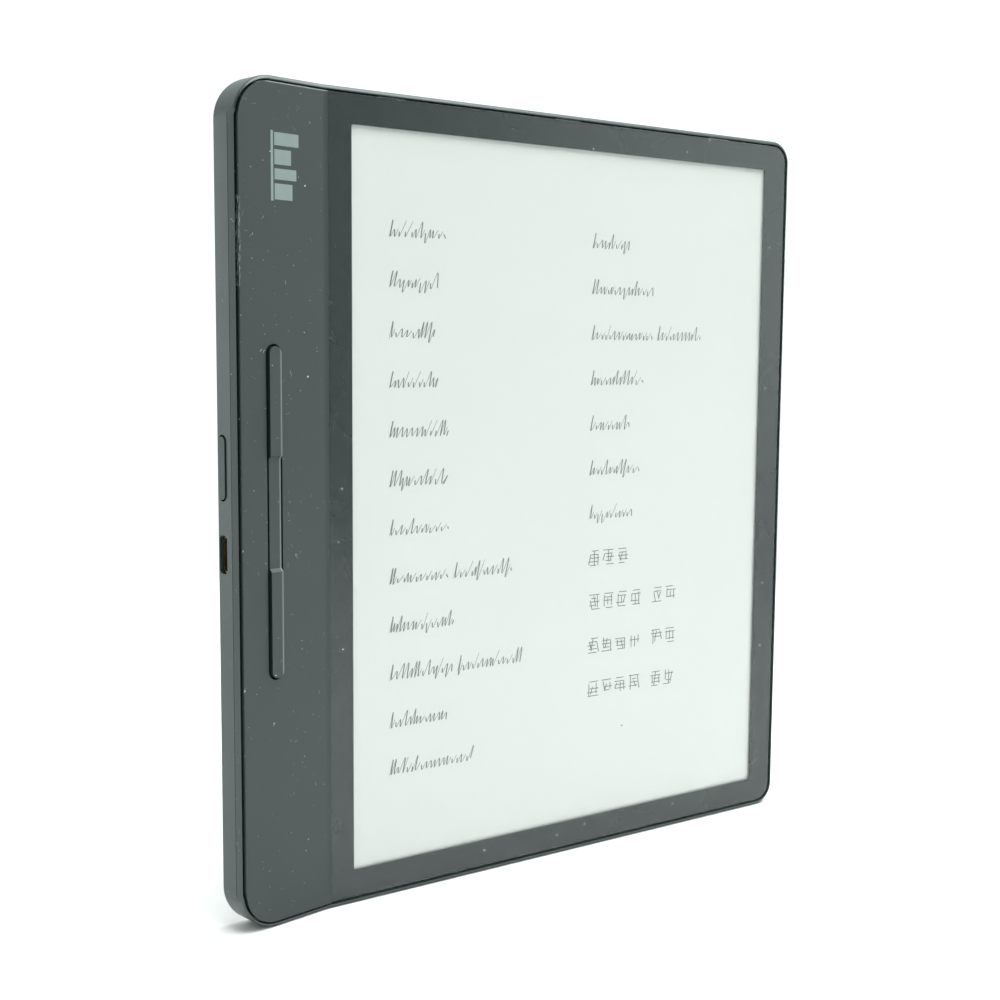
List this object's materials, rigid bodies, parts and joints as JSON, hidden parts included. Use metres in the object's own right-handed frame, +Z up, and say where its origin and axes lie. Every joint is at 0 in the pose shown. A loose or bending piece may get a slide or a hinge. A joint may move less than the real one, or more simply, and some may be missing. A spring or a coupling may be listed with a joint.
{
  "type": "e-reader",
  "caption": "Slim upright e-reader with a wide e-paper display, a thicker tilted grip on its left side, a rocking page bar, and a power button and charging port on the side wall.",
  "frame": {"origin": "bottom edge of the upright body, under the middle of its width and depth", "axes": "+X to the right of the front face, +Y from the front to the back, +Z up along the height; the display faces -Y"},
  "size_m": [0.1602, 0.0086, 0.1777],
  "materials": {
    "cover_plastic": "satin moulded, greenish dark grey",
    "magnesium": "die-cast, satin",
    "tape": "black foam tape",
    "grip_plastic": "satin moulded, greenish dark grey",
    "key_plastic": "satin moulded, greenish dark grey",
    "pin_steel": "ground",
    "sheet_steel": "stamped sheet",
    "screw_steel": "zinc plated",
    "silicone": "matte",
    "switch_plastic": "moulded",
    "circuit_board": "solder mask",
    "front_sheet": "clear, anti-glare",
    "border_ink": "printed border, greenish dark grey",
    "clear_film": "clear film",
    "light_guide": "clear moulded",
    "led_package": "white light-emitting diode package",
    "flex_circuit": "polyimide film",
    "epaper": "paper-like display film",
    "chip_epoxy": "moulded epoxy",
    "connector_plastic": "moulded",
    "small_part_ceramic": "matte",
    "port_plastic": "moulded",
    "contact_metal": "gold plated",
    "cell_foil": "laminated pouch foil",
    "lead_insulation": "wire insulation",
    "magnet": "nickel plated"
  },
  "bodies": {
    "body": {"rear_cover": "cover_plastic", "mid_frame": "magnesium", "frame_tape": "tape", "grip_panel": "grip_plastic", "grip_tape": "tape", "page_bar_pin": "pin_steel", "page_bar_bracket": "sheet_steel", "bracket_screws": "screw_steel", "page_bar_seal": "silicone", "page_switch_upper": "switch_plastic", "page_switch_lower": "switch_plastic", "page_switch_board": "circuit_board", "switch_board_screws": "screw_steel", "power_button_seal": "silicone", "power_switch": "switch_plastic", "front_sheet": "front_sheet", "bezel_mask": "border_ink", "touch_sensor": "clear_film", "light_guide": "light_guide", "frontlight_leds": "led_package", "frontlight_strip": "flex_circuit", "epaper_panel": "epaper", "display_backing": "sheet_steel", "display_driver": "chip_epoxy", "display_ribbon": "flex_circuit", "touch_ribbon": "flex_circuit", "frontlight_ribbon": "flex_circuit", "ribbon_connectors": "connector_plastic", "main_board": "circuit_board", "board_screws": "screw_steel", "processor": "chip_epoxy", "memory_chip": "chip_epoxy", "storage_chip": "chip_epoxy", "power_chip": "chip_epoxy", "wireless_chip": "chip_epoxy", "shield_can": "sheet_steel", "small_components": "small_part_ceramic", "usb_shell": "sheet_steel", "usb_tongue": "port_plastic", "usb_contacts": "contact_metal", "usb_seal": "silicone", "battery_cell": "cell_foil", "battery_board": "circuit_board", "battery_tape": "tape", "battery_leads": "lead_insulation", "battery_plug": "connector_plastic", "battery_socket": "connector_plastic", "antenna": "flex_circuit", "sleep_sensor": "chip_epoxy", "cover_magnets": "magnet"},
    "page_bar": {"page_bar": "key_plastic"},
    "power_button": {"power_button": "key_plastic"}
  },
  "joints": [
    {"name": "page_bar_rock", "type": "hinge", "parent": "body", "child": "page_bar", "pos_m": [-0.07065, -0.00023, 0.08885], "axis": [-0.9863, -0.165, 0], "range_deg": [-0.55, 0.55], "stiffness_Nm_per_rad": 4},
    {"name": "power_button_press", "type": "slide", "parent": "body", "child": "power_button", "axis": [0.9863, 0.165, 0], "range_m": [0, 0.00025], "stiffness_N_per_m": 4000}
  ]
}
